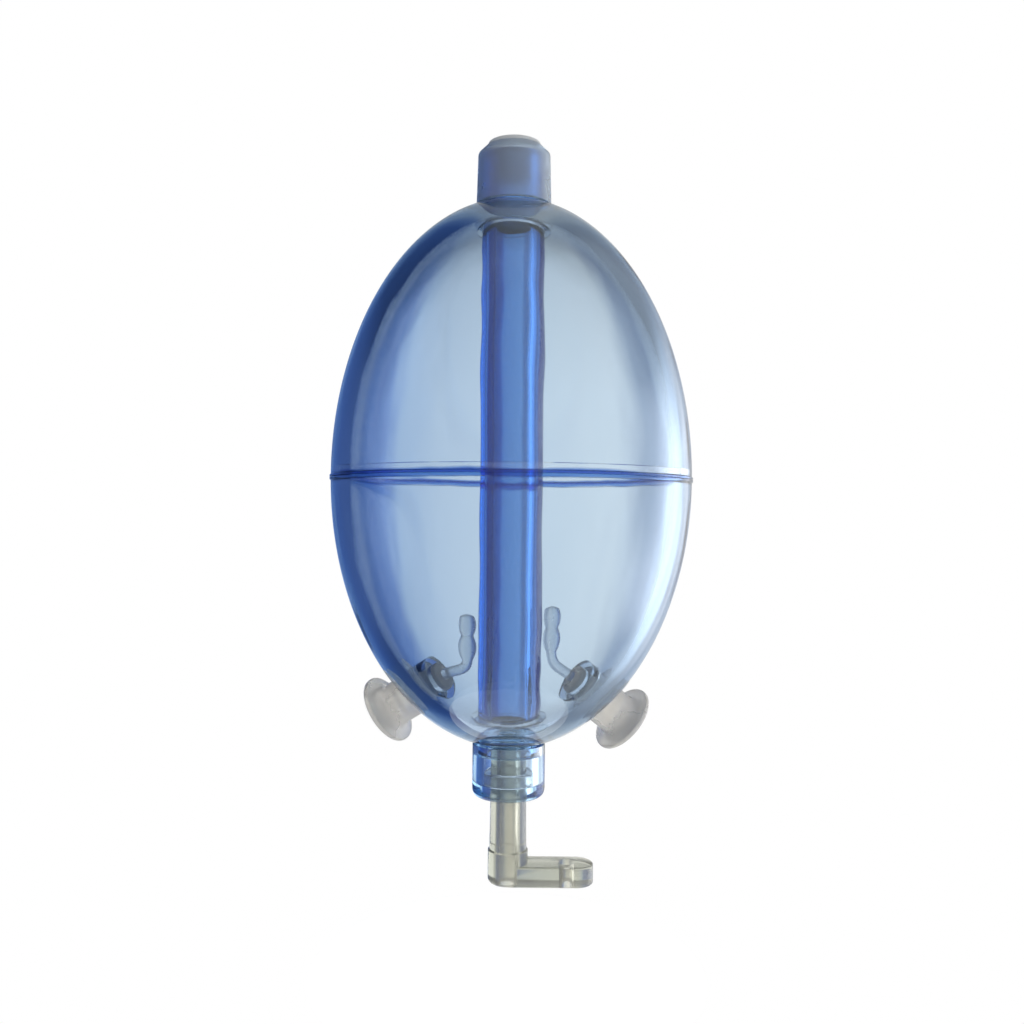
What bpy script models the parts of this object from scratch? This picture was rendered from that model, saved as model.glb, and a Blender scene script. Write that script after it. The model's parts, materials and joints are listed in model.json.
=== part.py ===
"""Casting bubble float: a clear egg-shaped shell in two welded halves round a line tube.

The frame has its origin on the tube's axis, in the plane of the weld seam, with +Z towards the
collar. Two filler plugs on soft tails close the ports low on the left and the right, and a
turn key with an eyed arm swivels in the neck below and pulls out of it downwards.
"""

import math

import bmesh
import bpy
from mathutils import Matrix, Vector

MM = 0.001

# The egg, as two half ellipses that meet at the seam
BODY_RADIUS = 20.0 * MM
UPPER_HEIGHT = 31.15 * MM
LOWER_HEIGHT = 29.85 * MM
WALL = 2.0 * MM
LAP_HEIGHT = 1.0 * MM
BEAD_STAND = 0.12 * MM
BEAD_HEIGHT = 0.35 * MM

# The line tube and the sockets that hold it at both poles
TUBE_RADIUS = 3.55 * MM
TUBE_BORE = 2.0 * MM
STEM_ROOM_AROUND = 0.45 * MM
STEM_ROOM_ABOVE = 0.4 * MM
TUBE_ABOVE_POLE = 5.0 * MM
TUBE_BELOW_POLE = 0.75 * MM
TUBE_CHAMFER = 0.2 * MM
SOCKET_WALL = 0.7 * MM
UPPER_SOCKET_DEPTH = 1.25 * MM
LOWER_SOCKET_DEPTH = 1.15 * MM

# The frosted collar on the tube's upper end, and the bush in its mouth
COLLAR_WALL = 0.6 * MM
COLLAR_DRAFT = 0.15 * MM
COLLAR_ABOVE_TUBE = 0.25 * MM
COLLAR_SLOPE = 0.85 * MM
BUSH_RADIUS = 2.95 * MM
BUSH_BORE = 1.25 * MM
BUSH_STAND = 0.5 * MM
BUSH_SPIGOT = 3.0 * MM

# The neck under the lower pole, its web and the seal on the web
NECK_WALL = 0.48 * MM
NECK_STEP = 0.7 * MM
NECK_LENGTH = 5.95 * MM
NECK_ROUND = 1.6 * MM
WEB_THICKNESS = 1.4 * MM
SEAL_HEIGHT = 1.3 * MM

# The turn key: a hollow stem, its thicker foot, and a flat arm with an eye
STEM_RADIUS = 2.0 * MM
STEM_DRAFT = 0.08 * MM
STEM_BORE = 0.9 * MM
STEM_INSIDE = 8.2 * MM
STEM_BELOW_LIP = 9.8 * MM
STEM_LEAD = 0.4 * MM
FOOT_STEP = 0.25 * MM
FOOT_HEIGHT = 3.7 * MM
FOOT_ROUND = 0.7 * MM
ARM_THICKNESS = 2.25 * MM
ARM_WIDTH = 4.0 * MM
ARM_REACH = 9.6 * MM
EYE_RADIUS = 0.9 * MM
EYE_FROM_END = 3.0 * MM

# The filler ports: side, distance from the axis, turn towards the back, angle below the
# horizontal, and how far below the seam the top of the plug's tail lies
PORTS = (
    ("left", -1, 11.4 * MM, math.radians(20), math.radians(33), 15.2 * MM),
    ("right", 1, 10.9 * MM, math.radians(22), math.radians(39), 14.2 * MM),
)
PORT_BORE = 1.75 * MM
BOSS_WALL = 1.0 * MM
BOSS_DEPTH = 3.1 * MM
SEAT_DEPTH = 0.5 * MM

# The plug, measured outwards along its port from the shell's surface
SHAFT_RADIUS = 2.5 * MM
HEAD_RADIUS = 4.05 * MM
HEAD_FACE = 4.75 * MM
HEAD_EDGE = 0.55 * MM
HEAD_DOME = 0.25 * MM
FLARE_LENGTH = 1.1 * MM
STOPPER_PAST_BOSS = 0.65 * MM
STOPPER_TAPER = 0.5 * MM

# The plug's tail and the two lobes at its end
TAIL_RADIUS = 0.62 * MM
LOBE_RADIUS = 1.05 * MM
LOBE_WAIST = 0.7 * MM
LOBES_LENGTH = 5.0 * MM
TAIL_CURVE = 0.45
TAIL_OFF_TUBE = 0.6 * MM

# Clearances
BOND_GAP = 0.05 * MM  # round a glued or welded joint
FACE_GAP = 0.1 * MM  # between two faces that rest on each other
RUN_FIT = 0.05 * MM  # round a piece that slides or turns in its seal or its port
WEB_FIT = 0.1 * MM  # round the stem in the web's hole

SHELL_STEPS = 48
ROUND_STEPS = 36
PORT_STEPS = 24
ARC_STEPS = 12
MERGE = 0.00001
CUT_PAST = 5.0 * MM


def egg_height(radius, height, at_radius):
    """Height above the seam of a half ellipse where it is at_radius from the axis."""
    return height * math.sqrt(1 - (at_radius / radius) ** 2)


def egg_arc(radius, height, from_angle, to_angle):
    """Points (radius, height) of a half ellipse, by its own angle from the seam to the pole."""
    angles = [
        from_angle + (to_angle - from_angle) * step / ARC_STEPS
        for step in range(ARC_STEPS + 1)
    ]
    return [(radius * math.cos(a), height * math.sin(a)) for a in angles]


def round_corner(centre, radius, from_degrees, to_degrees, steps=5):
    """Points of an arc about centre, both ends included."""
    angles = [
        math.radians(from_degrees + (to_degrees - from_degrees) * step / steps)
        for step in range(steps + 1)
    ]
    return [
        (centre[0] + radius * math.cos(a), centre[1] + radius * math.sin(a))
        for a in angles
    ]


# Places that follow from the sizes above
TUBE_HOLE = TUBE_RADIUS + BOND_GAP
INNER_RADIUS = BODY_RADIUS - WALL
TUBE_TOP = UPPER_HEIGHT + TUBE_ABOVE_POLE
TUBE_BOTTOM = -(LOWER_HEIGHT + TUBE_BELOW_POLE)
COLLAR_BASE = egg_height(BODY_RADIUS, UPPER_HEIGHT, TUBE_HOLE) + FACE_GAP
COLLAR_MOUTH = BUSH_RADIUS + BOND_GAP
NECK_TOP = -egg_height(BODY_RADIUS, LOWER_HEIGHT, TUBE_HOLE) - FACE_GAP
NECK_LIP = NECK_TOP - NECK_LENGTH
WEB_TOP = NECK_LIP + WEB_THICKNESS
KEY_FOOT = NECK_LIP - STEM_BELOW_LIP
STEM_ROOM_RADIUS = STEM_RADIUS + STEM_ROOM_AROUND
COLLAR_BASE_RADIUS = TUBE_HOLE + COLLAR_WALL
COLLAR_TOP_RADIUS = COLLAR_BASE_RADIUS - COLLAR_DRAFT
NECK_RADIUS = TUBE_HOLE + NECK_WALL
NECK_BORE = TUBE_RADIUS - NECK_STEP
FOOT_RADIUS = STEM_RADIUS + FOOT_STEP


def clear_scene():
    for obj in list(bpy.data.objects):
        bpy.data.objects.remove(obj, do_unlink=True)


def new_collection(name):
    collection = bpy.data.collections.new(name)
    bpy.context.scene.collection.children.link(collection)
    return collection


def new_material(name, colour, roughness, clearness):
    """A plastic: clearness is how much of the light passes through it."""
    material = bpy.data.materials.new(name)
    material.use_nodes = True
    shader = material.node_tree.nodes["Principled BSDF"]
    shader.inputs["Base Color"].default_value = (*colour, 1)
    shader.inputs["Roughness"].default_value = roughness
    shader.inputs["Metallic"].default_value = 0.0
    shader.inputs["Transmission Weight"].default_value = clearness
    material.diffuse_color = (*colour, 1)
    return material


def add_object(name, data, collection, material=None):
    obj = bpy.data.objects.new(name, data)
    collection.objects.link(obj)
    if material:
        data.materials.append(material)
    return obj


def finish(obj):
    """Smooth sides with sharp corners, on a mesh."""
    obj.data.shade_smooth()
    obj.data.set_sharp_from_angle(angle=math.radians(35))
    return obj


def turned(name, profile, steps, collection, material=None, closed=True):
    """A profile of (radius, height) points, down its outer side, turned once about Z.

    An open profile starts and ends on the axis.
    """
    mesh = bpy.data.meshes.new(name)
    shape = bmesh.new()
    verts = [shape.verts.new((r, 0, z)) for r, z in profile]
    ends = zip(verts, verts[1:] + verts[:1]) if closed else zip(verts, verts[1:])
    for first, second in ends:
        shape.edges.new((first, second))
    shape.to_mesh(mesh)
    shape.free()
    obj = add_object(name, mesh, collection, material)
    screw = obj.modifiers.new("turn", "SCREW")
    screw.axis = "Z"
    screw.angle = math.tau
    screw.steps = steps
    screw.render_steps = steps
    screw.use_merge_vertices = True
    screw.merge_threshold = MERGE
    screw.use_smooth_shade = True
    return obj


def cylinder(name, radius, bottom, top, collection, steps=PORT_STEPS):
    """A plain cylinder about Z, for cutting or for joining."""
    mesh = bpy.data.meshes.new(name)
    shape = bmesh.new()
    bmesh.ops.create_cone(
        shape,
        cap_ends=True,
        segments=steps,
        radius1=radius,
        radius2=radius,
        depth=top - bottom,
        matrix=Matrix.Translation((0, 0, (top + bottom) / 2)),
    )
    shape.to_mesh(mesh)
    shape.free()
    obj = add_object(name, mesh, collection)
    obj.hide_render = True
    obj.display_type = "WIRE"
    return obj


def boolean(obj, operation, other):
    modifier = obj.modifiers.new(other.name, "BOOLEAN")
    modifier.operation = operation
    modifier.solver = "EXACT"
    modifier.object = other


def mesh_from_curve(obj, collection):
    """The curve as a mesh object with welded caps, in the curve's place."""
    bpy.context.view_layer.update()
    evaluated = obj.evaluated_get(bpy.context.evaluated_depsgraph_get())
    mesh = bpy.data.meshes.new_from_object(evaluated)
    shape = bmesh.new()
    shape.from_mesh(mesh)
    bmesh.ops.remove_doubles(shape, verts=shape.verts, dist=MERGE)
    bmesh.ops.recalc_face_normals(shape, faces=shape.faces)
    shape.to_mesh(mesh)
    shape.free()
    name, place = obj.name, obj.matrix_world.copy()
    bpy.data.objects.remove(obj, do_unlink=True)
    made = bpy.data.objects.new(name, mesh)
    made.matrix_world = place
    collection.objects.link(made)
    return made


def port_place(side, radius, back, angle):
    """Where a port's axis meets the shell, with the local Z pointing out along the port."""
    centre = Vector((side * radius, 0, -egg_height(BODY_RADIUS, LOWER_HEIGHT, radius)))
    tilt = Matrix.Rotation(side * (math.pi / 2 + angle), 4, "Y")
    return Matrix.Rotation(side * back, 4, "Z") @ Matrix.Translation(centre) @ tilt


def pole_angle(radius, at_radius):
    """The ellipse's own angle where it is at_radius from the axis."""
    return math.acos(at_radius / radius)


def shell_inside(height, socket_depth, rim_height):
    """The inner side of a shell from its tube hole to its rim, heights taken as positive."""
    inner_height = height - WALL
    socket_radius = TUBE_HOLE + SOCKET_WALL
    socket_end = inner_height - socket_depth
    arc = egg_arc(
        INNER_RADIUS,
        inner_height,
        pole_angle(INNER_RADIUS, socket_radius),
        math.asin(rim_height / inner_height),
    )
    return [(TUBE_HOLE, socket_end), (socket_radius, socket_end)] + arc


def make_upper_shell(collection, material):
    """The upper half: a dome whose rim laps outside the lower half's tongue."""
    rim = BOND_GAP / 2
    lap_top = LAP_HEIGHT + BOND_GAP
    tongue = BODY_RADIUS - WALL / 2 + BOND_GAP
    outside = egg_arc(
        BODY_RADIUS,
        UPPER_HEIGHT,
        pole_angle(BODY_RADIUS, TUBE_HOLE),
        math.asin(BEAD_HEIGHT / UPPER_HEIGHT),
    )
    inside = shell_inside(UPPER_HEIGHT, UPPER_SOCKET_DEPTH, lap_top)
    profile = (
        outside
        + [(BODY_RADIUS + BEAD_STAND, BEAD_HEIGHT / 2), (BODY_RADIUS + BEAD_STAND, rim)]
        + [(tongue, rim), (tongue, lap_top)]
        + inside[::-1]
    )
    return turned("upper_shell", profile, SHELL_STEPS, collection, material)


def make_lower_shell(collection, helpers, material):
    """The lower half: a bowl with a tongue round its rim, and the two filler ports."""
    rim = -BOND_GAP / 2
    tongue = BODY_RADIUS - WALL / 2
    outside = egg_arc(
        BODY_RADIUS,
        LOWER_HEIGHT,
        math.asin(BEAD_HEIGHT / LOWER_HEIGHT),
        pole_angle(BODY_RADIUS, TUBE_HOLE),
    )
    inside = shell_inside(LOWER_HEIGHT, LOWER_SOCKET_DEPTH, 0)
    profile = (
        [(BODY_RADIUS + BEAD_STAND, rim), (BODY_RADIUS + BEAD_STAND, -BEAD_HEIGHT / 2)]
        + [(r, -z) for r, z in outside]
        + [(r, -z) for r, z in inside]
        + [(INNER_RADIUS, LAP_HEIGHT), (tongue, LAP_HEIGHT), (tongue, rim)]
    )
    shell = turned("lower_shell", profile, SHELL_STEPS, collection, material)
    boss_root = 0.63 * WALL
    for name, side, radius, back, angle, _ in PORTS:
        place = port_place(side, radius, back, angle)
        boss = cylinder(
            f"{name}_boss", PORT_BORE + BOSS_WALL, -BOSS_DEPTH, -boss_root, helpers
        )
        seat = cylinder(
            f"{name}_seat", SHAFT_RADIUS + FACE_GAP, -SEAT_DEPTH, CUT_PAST, helpers
        )
        bore = cylinder(f"{name}_bore", PORT_BORE, -CUT_PAST, CUT_PAST, helpers)
        for helper, operation in (
            (boss, "UNION"),
            (seat, "DIFFERENCE"),
            (bore, "DIFFERENCE"),
        ):
            helper.matrix_world = place
            boolean(shell, operation, helper)
    return shell


def make_centre_tube(collection, material):
    """The tube that the line runs through, with a wider bore below that clears the stem."""
    stem_room_top = NECK_LIP + STEM_INSIDE + STEM_ROOM_ABOVE
    profile = [
        (TUBE_BORE, TUBE_TOP),
        (TUBE_RADIUS - TUBE_CHAMFER, TUBE_TOP),
        (TUBE_RADIUS, TUBE_TOP - TUBE_CHAMFER),
        (TUBE_RADIUS, TUBE_BOTTOM + TUBE_CHAMFER),
        (TUBE_RADIUS - TUBE_CHAMFER, TUBE_BOTTOM),
        (STEM_ROOM_RADIUS, TUBE_BOTTOM),
        (STEM_ROOM_RADIUS, stem_room_top),
        (TUBE_BORE, stem_room_top),
    ]
    return turned("centre_tube", profile, ROUND_STEPS, collection, material)


def make_top_collar(collection, material):
    """A sleeve over the tube's end, with a sloped shoulder round the bush."""
    shoulder = TUBE_TOP + COLLAR_ABOVE_TUBE
    lip = TUBE_TOP + FACE_GAP
    profile = [
        (COLLAR_MOUTH, shoulder + COLLAR_SLOPE),
        (COLLAR_MOUTH + 0.15 * MM, shoulder + COLLAR_SLOPE),
        (COLLAR_TOP_RADIUS - 0.1 * MM, shoulder + 0.1 * MM),
        (COLLAR_TOP_RADIUS, shoulder - 0.05 * MM),
        (COLLAR_BASE_RADIUS, COLLAR_BASE),
        (TUBE_HOLE, COLLAR_BASE),
        (TUBE_HOLE, lip),
        (COLLAR_MOUTH, lip),
    ]
    return turned("top_collar", profile, ROUND_STEPS, collection, material)


def make_top_bush(collection, material):
    """The ring that the line enters by: it stands in the collar's mouth, on the tube's end."""
    top = TUBE_TOP + COLLAR_ABOVE_TUBE + COLLAR_SLOPE + BUSH_STAND
    seat = TUBE_TOP + FACE_GAP
    spigot = TUBE_BORE - BOND_GAP
    lead = 0.3 * MM
    profile = [
        (BUSH_BORE + lead, top),
        (BUSH_RADIUS - lead / 2, top),
        (BUSH_RADIUS, top - lead / 2),
        (BUSH_RADIUS, seat),
        (spigot, seat),
        (spigot, TUBE_TOP - BUSH_SPIGOT),
        (BUSH_BORE, TUBE_TOP - BUSH_SPIGOT),
        (BUSH_BORE, top - lead),
    ]
    return turned("top_bush", profile, ROUND_STEPS, collection, material)


def make_neck_socket(collection, material):
    """The neck: a cup on the tube's lower end, closed by a web that the stem passes."""
    hole = STEM_RADIUS + WEB_FIT
    step = TUBE_BOTTOM - FACE_GAP
    corner = (NECK_RADIUS - NECK_ROUND, NECK_LIP + NECK_ROUND)
    profile = (
        [(TUBE_HOLE, NECK_TOP), (NECK_RADIUS, NECK_TOP)]
        + round_corner(corner, NECK_ROUND, 0, -90)
        + [(hole, NECK_LIP), (hole, WEB_TOP), (NECK_BORE, WEB_TOP)]
        + [(NECK_BORE, step), (TUBE_HOLE, step)]
    )
    return turned("neck_socket", profile, ROUND_STEPS, collection, material)


def make_stem_seal(collection, material):
    """A square-cut ring round the stem that sits on the neck's web."""
    inner, outer = STEM_RADIUS + RUN_FIT, NECK_BORE - RUN_FIT
    bottom = WEB_TOP + RUN_FIT
    top = bottom + SEAL_HEIGHT
    profile = [(inner, top), (outer, top), (outer, bottom), (inner, bottom)]
    return turned("stem_seal", profile, ROUND_STEPS, collection, material)


def arm_outline():
    """The arm from the stem's axis to its round end, seen from above."""
    half = ARM_WIDTH / 2
    end = round_corner((ARM_REACH - half, 0), half, -90, 90, steps=12)
    return [(0, -half)] + end + [(0, half)]


def make_key(collection, helpers, material):
    """The turn key: a hollow stem, drafted below the neck, a foot, and an arm with an eye."""
    foot_top = KEY_FOOT + FOOT_HEIGHT
    stem_top = NECK_LIP + STEM_INSIDE
    foot_corner = (FOOT_RADIUS - FOOT_ROUND, KEY_FOOT + FOOT_ROUND)
    drafted = STEM_RADIUS + STEM_DRAFT
    profile = (
        [(STEM_BORE, stem_top), (STEM_RADIUS - STEM_LEAD / 2, stem_top)]
        + [(STEM_RADIUS, stem_top - STEM_LEAD), (STEM_RADIUS, NECK_LIP)]
        + [(drafted, foot_top + FOOT_RADIUS - drafted), (FOOT_RADIUS, foot_top)]
        + round_corner(foot_corner, FOOT_ROUND, 0, -90)
        + [(STEM_BORE, KEY_FOOT)]
    )
    key = turned("key", profile, ROUND_STEPS, collection, material)
    outline = bpy.data.curves.new("arm_blank", "CURVE")
    outline.dimensions = "2D"
    outline.fill_mode = "BOTH"
    outline.extrude = ARM_THICKNESS / 2
    eye_centre = (ARM_REACH - EYE_FROM_END, 0)
    eye = round_corner(eye_centre, EYE_RADIUS, 0, 345, steps=23)
    for points in (arm_outline(), eye):
        spline = outline.splines.new("POLY")
        spline.points.add(len(points) - 1)
        for point, (x, y) in zip(spline.points, points):
            point.co = (x, y, 0, 1)
        spline.use_cyclic_u = True
    blank = add_object("arm_blank", outline, helpers)
    blank.location.z = KEY_FOOT + ARM_THICKNESS / 2
    arm = mesh_from_curve(blank, helpers)
    arm.hide_render = True
    arm.display_type = "WIRE"
    boolean(key, "UNION", arm)
    line_way = cylinder(
        "line_way",
        STEM_BORE,
        KEY_FOOT - CUT_PAST,
        KEY_FOOT + 2 * ARM_THICKNESS,
        helpers,
        ROUND_STEPS,
    )
    boolean(key, "DIFFERENCE", line_way)
    return key


def make_plug(name, collection, material):
    """A soft plug, in its port's own frame: a mushroom head, a shaft and a stopper."""
    stopper = PORT_BORE - RUN_FIT
    stopper_end = -(BOSS_DEPTH + STOPPER_PAST_BOSS)
    flare_top = HEAD_FACE - HEAD_EDGE
    seat = -SEAT_DEPTH + RUN_FIT
    flare = [
        (
            SHAFT_RADIUS + (HEAD_RADIUS - SHAFT_RADIUS) * (1 - math.sin(angle)),
            flare_top - FLARE_LENGTH * (1 - math.cos(angle)),
        )
        for angle in (math.pi / 2 * step / 5 for step in range(6))
    ]
    profile = (
        [(0, HEAD_FACE + HEAD_DOME), (HEAD_RADIUS * 0.5, HEAD_FACE + HEAD_DOME * 0.75)]
        + [(HEAD_RADIUS - 0.15 * MM, HEAD_FACE), (HEAD_RADIUS, HEAD_FACE - 0.15 * MM)]
        + flare
        + [(SHAFT_RADIUS, seat), (stopper, seat), (stopper, stopper_end + STOPPER_TAPER)]
        + [(stopper - STOPPER_TAPER / 2, stopper_end), (0, stopper_end)]
    )
    return turned(f"{name}_plug", profile, PORT_STEPS, collection, material, False)


def bezier(p0, p1, p2, p3, t):
    s = 1 - t
    return p0 * s**3 + p1 * 3 * s * s * t + p2 * 3 * s * t * t + p3 * t**3


def make_plug_tail(name, place, lobes_top, collection, material):
    """The plug's retaining tail: a soft strand that turns up beside the tube into two lobes."""
    outward = place.to_3x3() @ Vector((0, 0, 1))
    start_depth = BOSS_DEPTH + STOPPER_PAST_BOSS + FACE_GAP
    start = place.translation - outward * start_depth
    beside_tube = TUBE_RADIUS + LOBE_RADIUS + TAIL_OFF_TUBE
    turn_up = Vector((outward.x, outward.y, 0)).normalized() * beside_tube
    turn_up.z = -(lobes_top + LOBES_LENGTH)
    reach = (turn_up - start).length * TAIL_CURVE
    strand = [
        bezier(
            start,
            start - outward * reach,
            turn_up - Vector((0, 0, reach)),
            turn_up,
            step / 10,
        )
        for step in range(10)
    ]
    rise = [step / 16 for step in range(17)]
    lobes = [turn_up + Vector((0, 0, LOBES_LENGTH * u)) for u in rise]
    swell = [abs(math.sin(math.tau * u)) for u in rise]
    radii = [TAIL_RADIUS] * len(strand) + [
        LOBE_WAIST + (LOBE_RADIUS - LOBE_WAIST) * s for s in swell
    ]
    curve = bpy.data.curves.new(f"{name}_plug_tail", "CURVE")
    curve.dimensions = "3D"
    curve.bevel_depth = 1.0
    curve.bevel_resolution = 2
    curve.use_fill_caps = True
    spline = curve.splines.new("POLY")
    points = strand + lobes
    spline.points.add(len(points) - 1)
    for point, place_at, radius in zip(spline.points, points, radii):
        point.co = (*place_at, 1)
        point.radius = radius
    return add_object(f"{name}_plug_tail", curve, collection, material)


def build():
    clear_scene()
    parts = new_collection("bubble_float")
    helpers = new_collection("cutters")
    clear_blue = new_material("clear_blue", (0.30, 0.48, 0.78), 0.08, 0.9)
    deep_blue = new_material("deep_blue", (0.07, 0.17, 0.55), 0.10, 0.8)
    frosted = new_material("frosted_grey_blue", (0.36, 0.46, 0.58), 0.45, 0.5)
    pale_ring = new_material("pale_ring", (0.55, 0.60, 0.62), 0.40, 0.4)
    neck_blue = new_material("neck_blue", (0.45, 0.62, 0.85), 0.08, 0.9)
    seal_grey = new_material("seal_grey", (0.35, 0.42, 0.50), 0.40, 0.6)
    key_grey = new_material("key_grey", (0.58, 0.60, 0.53), 0.20, 0.7)
    soft_clear = new_material("soft_clear", (0.60, 0.58, 0.55), 0.35, 0.6)

    make_upper_shell(parts, clear_blue)
    make_lower_shell(parts, helpers, clear_blue)
    make_centre_tube(parts, deep_blue)
    make_top_collar(parts, frosted)
    make_top_bush(parts, pale_ring)
    make_neck_socket(parts, neck_blue)
    make_stem_seal(parts, seal_grey)
    make_key(parts, helpers, key_grey)
    for name, side, radius, back, angle, lobes_top in PORTS:
        place = port_place(side, radius, back, angle)
        plug = make_plug(name, parts, soft_clear)
        plug.matrix_world = place
        make_plug_tail(name, place, lobes_top, parts, soft_clear)
    for obj in parts.objects:
        if obj.type == "MESH":
            finish(obj)


build()
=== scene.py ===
# %% [markdown]
# # Casting bubble float
#
# This float is a clear blue egg in two welded halves round a line tube. It carries a frosted
# collar on top, a clear neck and a turn key below, and two soft filler plugs with tails.
# The CAD model gives the frame, and every piece below takes its place from it.

# %% Load the frame
import json
import math
import bmesh
import bpy
from mathutils import Matrix, Vector


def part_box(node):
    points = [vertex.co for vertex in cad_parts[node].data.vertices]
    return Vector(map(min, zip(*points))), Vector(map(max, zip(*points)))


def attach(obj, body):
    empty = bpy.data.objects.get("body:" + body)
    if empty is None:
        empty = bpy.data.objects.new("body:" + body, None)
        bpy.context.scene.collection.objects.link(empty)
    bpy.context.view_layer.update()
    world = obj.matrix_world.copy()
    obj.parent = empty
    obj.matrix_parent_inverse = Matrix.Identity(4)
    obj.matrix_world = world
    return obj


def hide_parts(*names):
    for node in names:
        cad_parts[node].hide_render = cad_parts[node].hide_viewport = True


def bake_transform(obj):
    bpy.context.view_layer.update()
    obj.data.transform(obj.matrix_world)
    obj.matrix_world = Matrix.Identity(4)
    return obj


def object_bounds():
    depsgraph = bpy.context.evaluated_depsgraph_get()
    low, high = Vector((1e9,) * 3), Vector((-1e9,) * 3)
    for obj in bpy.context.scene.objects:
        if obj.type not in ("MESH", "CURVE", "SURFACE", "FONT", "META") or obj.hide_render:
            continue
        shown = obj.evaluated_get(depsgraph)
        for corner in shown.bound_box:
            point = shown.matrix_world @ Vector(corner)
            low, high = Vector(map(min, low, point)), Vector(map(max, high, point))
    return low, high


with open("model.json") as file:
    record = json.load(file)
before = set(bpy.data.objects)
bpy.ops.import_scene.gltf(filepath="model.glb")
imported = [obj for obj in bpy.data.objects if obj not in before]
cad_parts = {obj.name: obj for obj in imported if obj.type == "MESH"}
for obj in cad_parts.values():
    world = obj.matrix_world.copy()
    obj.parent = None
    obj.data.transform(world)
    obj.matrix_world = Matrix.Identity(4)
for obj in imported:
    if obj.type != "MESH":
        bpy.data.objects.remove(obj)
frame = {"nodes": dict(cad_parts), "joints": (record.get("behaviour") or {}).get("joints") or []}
cad_box = [list(corner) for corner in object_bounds()]
MM = 0.001
FULL_TURN = math.tau
print("float is", round((cad_box[1][2] - cad_box[0][2]) / MM, 1), "mm tall")

# %% [markdown]
# The camera looks straight at the float from a little below the seam, close enough that the
# far side of the egg is a little smaller than the near side. It is turned by half a degree,
# because the float leans that much to the right.

# %% Camera
CAMERA_DISTANCE = 111.3 * MM
CAMERA_BELOW_SEAM = 3.64 * MM
CAMERA_TO_THE_RIGHT = 0.11 * MM
LEAN = math.radians(0.55)
LENS = 34.79
SENSOR_WIDTH = 36
NEAREST_SEEN = 1 * MM
FARTHEST_SEEN = 20

camera_data = bpy.data.cameras.new("camera")
camera_data.lens = LENS
camera_data.sensor_width = SENSOR_WIDTH
camera_data.clip_start = NEAREST_SEEN
camera_data.clip_end = FARTHEST_SEEN
camera = bpy.data.objects.new("camera", camera_data)
bpy.context.scene.collection.objects.link(camera)
camera.location = (CAMERA_TO_THE_RIGHT, -CAMERA_DISTANCE, -CAMERA_BELOW_SEAM)
camera.rotation_euler = (math.pi / 2, -LEAN, 0)
bpy.context.scene.camera = camera
print("camera stands", round(CAMERA_DISTANCE / MM), "mm from the tube's axis")

# %% [markdown]
# A light and a material are both made of nodes. Two small tools make them shorter to write:
# one adds a node with its settings, and one lays colours along a ramp.

# %% Node tools

def add_node(tree, kind, **values):
    """A new node, with its properties and its inputs' constants set by name."""
    node = tree.nodes.new(kind)
    for name, value in values.items():
        if name in node.inputs:
            node.inputs[name].default_value = value
        else:
            setattr(node, name, value)
    return node


def set_ramp(ramp, stops):
    """Stops of (position, colour) on a colour ramp."""
    while len(ramp.elements) > 1:
        ramp.elements.remove(ramp.elements[-1])
    ramp.elements[0].position = stops[0][0]
    ramp.elements[0].color = (*stops[0][1], 1)
    for position, colour in stops[1:]:
        ramp.elements.new(position).color = (*colour, 1)


print("node tools ready")

# %% [markdown]
# The room's light depends only on the direction it comes from. A tone is a colour that changes
# along one axis of that direction. Tones are multiplied, made into lights, and joined.

# %% Room tools
world = bpy.data.worlds.new("soft_studio")
world.use_nodes = True
bpy.context.scene.world = world
room = world.node_tree
room.nodes.clear()
direction = add_node(room, "ShaderNodeTexCoord")
split = add_node(room, "ShaderNodeSeparateXYZ")
room.links.new(direction.outputs["Generated"], split.inputs[0])


def tone_along(axis, stops):
    """A tone by how far a direction leans along an axis; stops of (lean -1 to 1, colour)."""
    lean = add_node(room, "ShaderNodeMapRange")
    lean.inputs["From Min"].default_value = -1
    tone = add_node(room, "ShaderNodeValToRGB")
    colours = [(c, c, c) if isinstance(c, (int, float)) else c for _, c in stops]
    set_ramp(tone.color_ramp, [((at + 1) / 2, c) for (at, _), c in zip(stops, colours)])
    room.links.new(split.outputs[axis], lean.inputs["Value"])
    room.links.new(lean.outputs["Result"], tone.inputs["Fac"])
    return tone.outputs["Color"]


def product(first, second):
    """Two tones multiplied."""
    node = add_node(room, "ShaderNodeVectorMath", operation="MULTIPLY")
    room.links.new(first, node.inputs[0])
    room.links.new(second, node.inputs[1])
    return node.outputs["Vector"]


def light(strength, colour=None):
    """A background light of one strength, in white or in a tone."""
    node = add_node(room, "ShaderNodeBackground", Color=(1, 1, 1, 1), Strength=strength)
    if colour:
        room.links.new(colour, node.inputs["Color"])
    return node.outputs[0]


def join(kind, first, second, share=None):
    """Two lights added, or mixed by a share."""
    node = add_node(room, kind)
    if share:
        room.links.new(share, node.inputs["Fac"])
    room.links.new(first, node.inputs[-2])
    room.links.new(second, node.inputs[-1])
    return node.outputs[0]


print("room tools ready")

# %% [markdown]
# A clear object shows what stands around it. Behind the float hangs a white sheet that is
# bright to the right and falls to a dim blue on the left, so the left rim of the egg turns
# deep blue. It also dims towards its top and its foot.

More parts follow.
